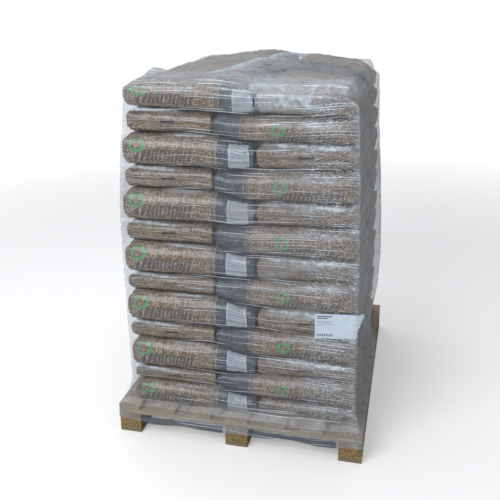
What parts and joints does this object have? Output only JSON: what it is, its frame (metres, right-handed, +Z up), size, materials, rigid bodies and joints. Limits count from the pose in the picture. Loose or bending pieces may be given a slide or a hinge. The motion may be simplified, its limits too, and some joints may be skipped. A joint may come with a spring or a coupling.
{
  "type": "pallet of sacks",
  "caption": "Film-wrapped stack of filled plastic sacks in interlocked layers on a wooden block pallet, with a sheet label on the wrap.",
  "frame": {"origin": "on the floor under the middle of the pallet", "axes": "+X along the pallet's narrow side, to the right as seen from the face with the label; +Y from that face to the back; +Z up"},
  "size_m": [1.103, 1.303, 1.6475],
  "materials": {
    "sawn_board": "rough sawn softwood, slightly greyed",
    "pressed_block": "pressed chip block, ochre",
    "sack_film": "clear sack film over brown wood pellets, creased and glossy",
    "stretch_film": "clear stretch film, hazy and wrinkled",
    "label_paper": "matt white sheet label with plain dark bars",
    "nail_steel": "dull nail heads"
  },
  "bodies": {
    "root": {"bottom_runner_left": "sawn_board", "bottom_runner_centre": "sawn_board", "bottom_runner_right": "sawn_board", "block_front_left": "pressed_block", "block_front_centre": "pressed_block", "block_front_right": "pressed_block", "block_middle_left": "pressed_block", "block_middle_centre": "pressed_block", "block_middle_right": "pressed_block", "block_back_left": "pressed_block", "block_back_centre": "pressed_block", "block_back_right": "pressed_block", "stringer_board_front": "sawn_board", "stringer_board_middle": "sawn_board", "stringer_board_back": "sawn_board", "deck_board_1": "sawn_board", "deck_board_2": "sawn_board", "deck_board_3": "sawn_board", "deck_board_4": "sawn_board", "deck_board_5": "sawn_board", "deck_board_6": "sawn_board", "deck_board_7": "sawn_board", "sack_layer_01": "sack_film", "sack_layer_02": "sack_film", "sack_layer_03": "sack_film", "sack_layer_04": "sack_film", "sack_layer_05": "sack_film", "sack_layer_06": "sack_film", "sack_layer_07": "sack_film", "sack_layer_08": "sack_film", "sack_layer_09": "sack_film", "sack_layer_10": "sack_film", "sack_layer_11": "sack_film", "sack_layer_12": "sack_film", "sack_layer_13": "sack_film", "film_hood": "stretch_film", "film_label": "label_paper"}
  },
  "joints": []
}
